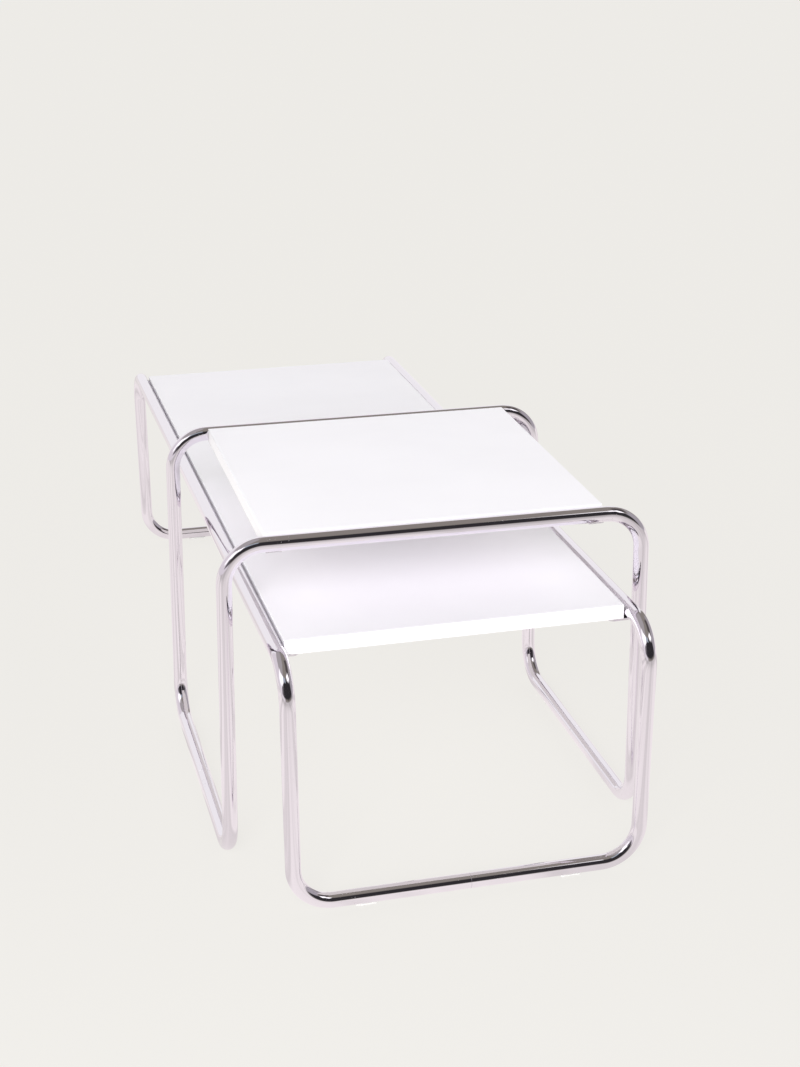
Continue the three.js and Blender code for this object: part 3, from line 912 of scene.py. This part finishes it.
def floor_material():
    """Bright by itself, so that shadows stay faint. Metal sees a painted reflection of it:
    brighter and pinker, with painted streaks of light and shade and painted shade in front.
    """
    material = bpy.data.materials.new("floor")
    material.use_nodes = True
    nodes = Nodes(material.node_tree)
    material.node_tree.nodes.clear()
    glow = nodes.add("ShaderNodeEmission")
    place = nodes.add("ShaderNodeTexCoord").outputs["Object"]
    heading = nodes.add("ShaderNodeVectorMath", operation="NORMALIZE")
    nodes.link(place, heading.inputs[0])
    # Painted light and shade that only metal sees: streaks outwards from the middle, and shade
    # towards the camera.
    outward_noise = nodes.noise(heading.outputs[0], scale=3.5, detail=3.0)
    streaks = nodes.ramp(outward_noise, 0.40, 0.60, STREAK_DIMMEST, 1.0)
    spread = nodes.add("ShaderNodeSeparateXYZ")
    nodes.link(place, spread.inputs[0])
    front = nodes.ramp(spread.outputs["Y"], FRONT_DIM_UP_TO, FRONT_DIM_FROM, FRONT_DIMMEST, 1.0)
    in_metal = nodes.maths("MULTIPLY", streaks, front)
    reflected = nodes.mix(in_metal, (0.0, 0.0, 0.0), FLOOR_IN_METAL)
    path = nodes.add("ShaderNodeLightPath")
    shown = nodes.mix(path.outputs["Is Glossy Ray"], FLOOR_COLOUR, reflected)
    nodes.link(shown, glow.inputs["Color"])
    glow.inputs["Strength"].default_value = 1.0 - FLOOR_DIFFUSE_SHARE
    matt = nodes.add("ShaderNodeBsdfDiffuse")
    matt.inputs["Color"].default_value = (*[FLOOR_DIFFUSE_SHARE * c for c in FLOOR_COLOUR], 1.0)
    both = nodes.add("ShaderNodeAddShader")
    nodes.link(glow.outputs[0], both.inputs[0])
    nodes.link(matt.outputs[0], both.inputs[1])
    clear = nodes.add("ShaderNodeBsdfTransparent")
    one_sided = nodes.add("ShaderNodeMixShader")
    nodes.link(nodes.add("ShaderNodeNewGeometry").outputs["Backfacing"], one_sided.inputs[0])
    nodes.link(both.outputs[0], one_sided.inputs[1])
    nodes.link(clear.outputs[0], one_sided.inputs[2])
    nodes.link(one_sided.outputs[0], nodes.add("ShaderNodeOutputMaterial").inputs["Surface"])
    return material


def add_floor():
    """A big pale sheet to stand on."""
    made = bmesh.new()
    bmesh.ops.create_grid(made, x_segments=1, y_segments=1, size=FLOOR_SIZE / 2)
    mesh = bpy.data.meshes.new("floor")
    made.to_mesh(mesh)
    made.free()
    mesh.materials.append(floor_material())
    floor = bpy.data.objects.new("floor", mesh)
    floor.location.z = cad_low.z - FLOOR_BELOW_FEET
    bpy.context.scene.collection.objects.link(floor)


# What polished metal sees of the studio: a name, then the lowest and highest heading in degrees
# (0 is away from the camera, 90 to the right, 180 behind the camera), the lowest and highest
# elevation, how soft the edge is, and the colour. Later ones cover earlier ones.
CEILING = (0.262, 0.243, 0.215)
BACKDROP = (0.95, 0.95, 0.95)
DARK_ROOM = (0.030, 0.028, 0.031)
STUDIO = (
    ("ceiling on the left", -140, 10, 40, 100, 30, (0.40, 0.38, 0.38)),
    ("left wall", -150, -30, -10, 42, 9, (0.76, 0.72, 0.75)),
    ("backdrop", -34, 36, -10, 40, 6, BACKDROP),
    ("pale wall on the right", 50, 122, -10, 34, 8, (0.40, 0.38, 0.40)),
    ("dark ceiling on the right", 62, 118, 38, 63, 8, (0.09, 0.08, 0.08)),
    ("room behind the camera on the right", 116, 200, 5, 52, 10, DARK_ROOM),
    ("room behind the camera on the left", -200, -134, 7, 46, 6, DARK_ROOM),
    ("dim wall on the left", -136, -116, 8, 34, 4, (0.15, 0.14, 0.15)),
    ("left softbox, near edge", -114, -86, 18, 48, 5, (1.2, 1.2, 1.2)),
    ("left softbox, middle", -128, -108, 27, 51, 4, (1.5, 1.5, 1.5)),
    ("left softbox, far edge", -142, -124, 38, 54, 4, (1.4, 1.4, 1.4)),
    ("right softbox, near edge", 112, 134, 36, 52, 4, (1.5, 1.5, 1.5)),
    ("right softbox, far edge", 128, 150, 43, 56, 4, (1.4, 1.4, 1.4)),
    ("pale strip on the left", -195, -140, 45, 56, 4, (0.40, 0.46, 0.52)),
    ("low horizon", -200, 200, -10, 0, 6, (0.64, 0.62, 0.64)),
)


def studio_colour(nodes, heading, elevation):
    """The colour that polished metal sees in a direction."""
    studio = CEILING
    for _, left, right, low, high, softness, colour in STUDIO:
        soft = math.radians(softness) / 2
        mask = 1.0
        for angle, start, end in ((heading, left, right), (elevation, low, high)):
            start, end = math.radians(start), math.radians(end)
            rise = nodes.ramp(angle, start - soft, start + soft)
            fall = nodes.ramp(angle, end - soft, end + soft, 1.0, 0.0)
            mask = nodes.maths("MULTIPLY", nodes.maths("MULTIPLY", rise, fall), mask)
        studio = nodes.mix(mask, studio, colour)
    return studio


def add_world():
    """A pale dome lights the object. Polished metal sees the studio round it instead."""
    world = bpy.data.worlds.new("studio")
    bpy.context.scene.world = world
    world.use_nodes = True
    nodes = Nodes(world.node_tree)
    world.node_tree.nodes.clear()
    axes = nodes.add("ShaderNodeSeparateXYZ")
    nodes.link(nodes.add("ShaderNodeTexCoord").outputs["Generated"], axes.inputs[0])
    heading = nodes.maths("ARCTAN2", axes.outputs["X"], axes.outputs["Y"])
    elevation = nodes.maths("ARCSINE", axes.outputs["Z"])
    studio = studio_colour(nodes, heading, elevation)
    path = nodes.add("ShaderNodeLightPath")
    height = nodes.ramp(elevation, DOME_LOW_UP_TO, DOME_HIGH_FROM)
    dome = nodes.mix(height, DOME_LOW, DOME_HIGH)
    seen = nodes.mix(path.outputs["Is Glossy Ray"], dome, studio)
    pale = nodes.mix(path.outputs["Is Camera Ray"], seen, FLOOR_COLOUR)
    background = nodes.add("ShaderNodeBackground")
    nodes.link(pale, background.inputs["Color"])
    nodes.link(background.outputs[0], nodes.add("ShaderNodeOutputWorld").inputs["Surface"])


def add_lamp(light, direction):
    """A lamp that lights surfaces from a direction, but that camera and metal don't see."""
    lamp = bpy.data.objects.new(light.name, light)
    lamp.rotation_mode = "QUATERNION"
    lamp.rotation_quaternion = (-direction).to_track_quat("-Z", "Y")
    lamp.visible_camera = False
    lamp.visible_glossy = False
    bpy.context.scene.collection.objects.link(lamp)
    return lamp


def add_key_light():
    """A very wide light from far away, so that it falls evenly on the floor."""
    light = bpy.data.lights.new("key_light", "SUN")
    light.energy = KEY_STRENGTH
    light.color = KEY_COLOUR
    light.angle = KEY_ANGLE
    add_lamp(light, Vector(KEY_DIRECTION))


def add_fill_light():
    """A smaller light near the camera that reaches in under the tall table."""
    light = bpy.data.lights.new("fill_light", "AREA")
    light.size = FILL_SIZE
    light.energy = FILL_ENERGY
    lamp = add_lamp(light, Vector(FILL_PLACE) - Vector(FILL_TARGET))
    lamp.location = FILL_PLACE


def add_camera():
    """A longish lens at chest height, in front of the low table's end and a little to its left."""
    data = bpy.data.cameras.new("camera")
    data.lens = CAMERA_LENS
    data.sensor_width = CAMERA_SENSOR
    camera = bpy.data.objects.new("camera", data)
    camera.location = CAMERA_PLACE
    camera.rotation_euler = (math.pi / 2 - CAMERA_DOWN, 0.0, -CAMERA_HEADING)
    bpy.context.scene.collection.objects.link(camera)
    bpy.context.scene.camera = camera


for each_table in TABLES:
    add_frames(each_table)
    add_laminates(each_table)
    add_bands(each_table)
    add_small_parts(each_table)
    finish_core(each_table)

add_floor()
add_world()
add_key_light()
add_fill_light()
add_camera()
bpy.context.scene.view_settings.view_transform = "Standard"
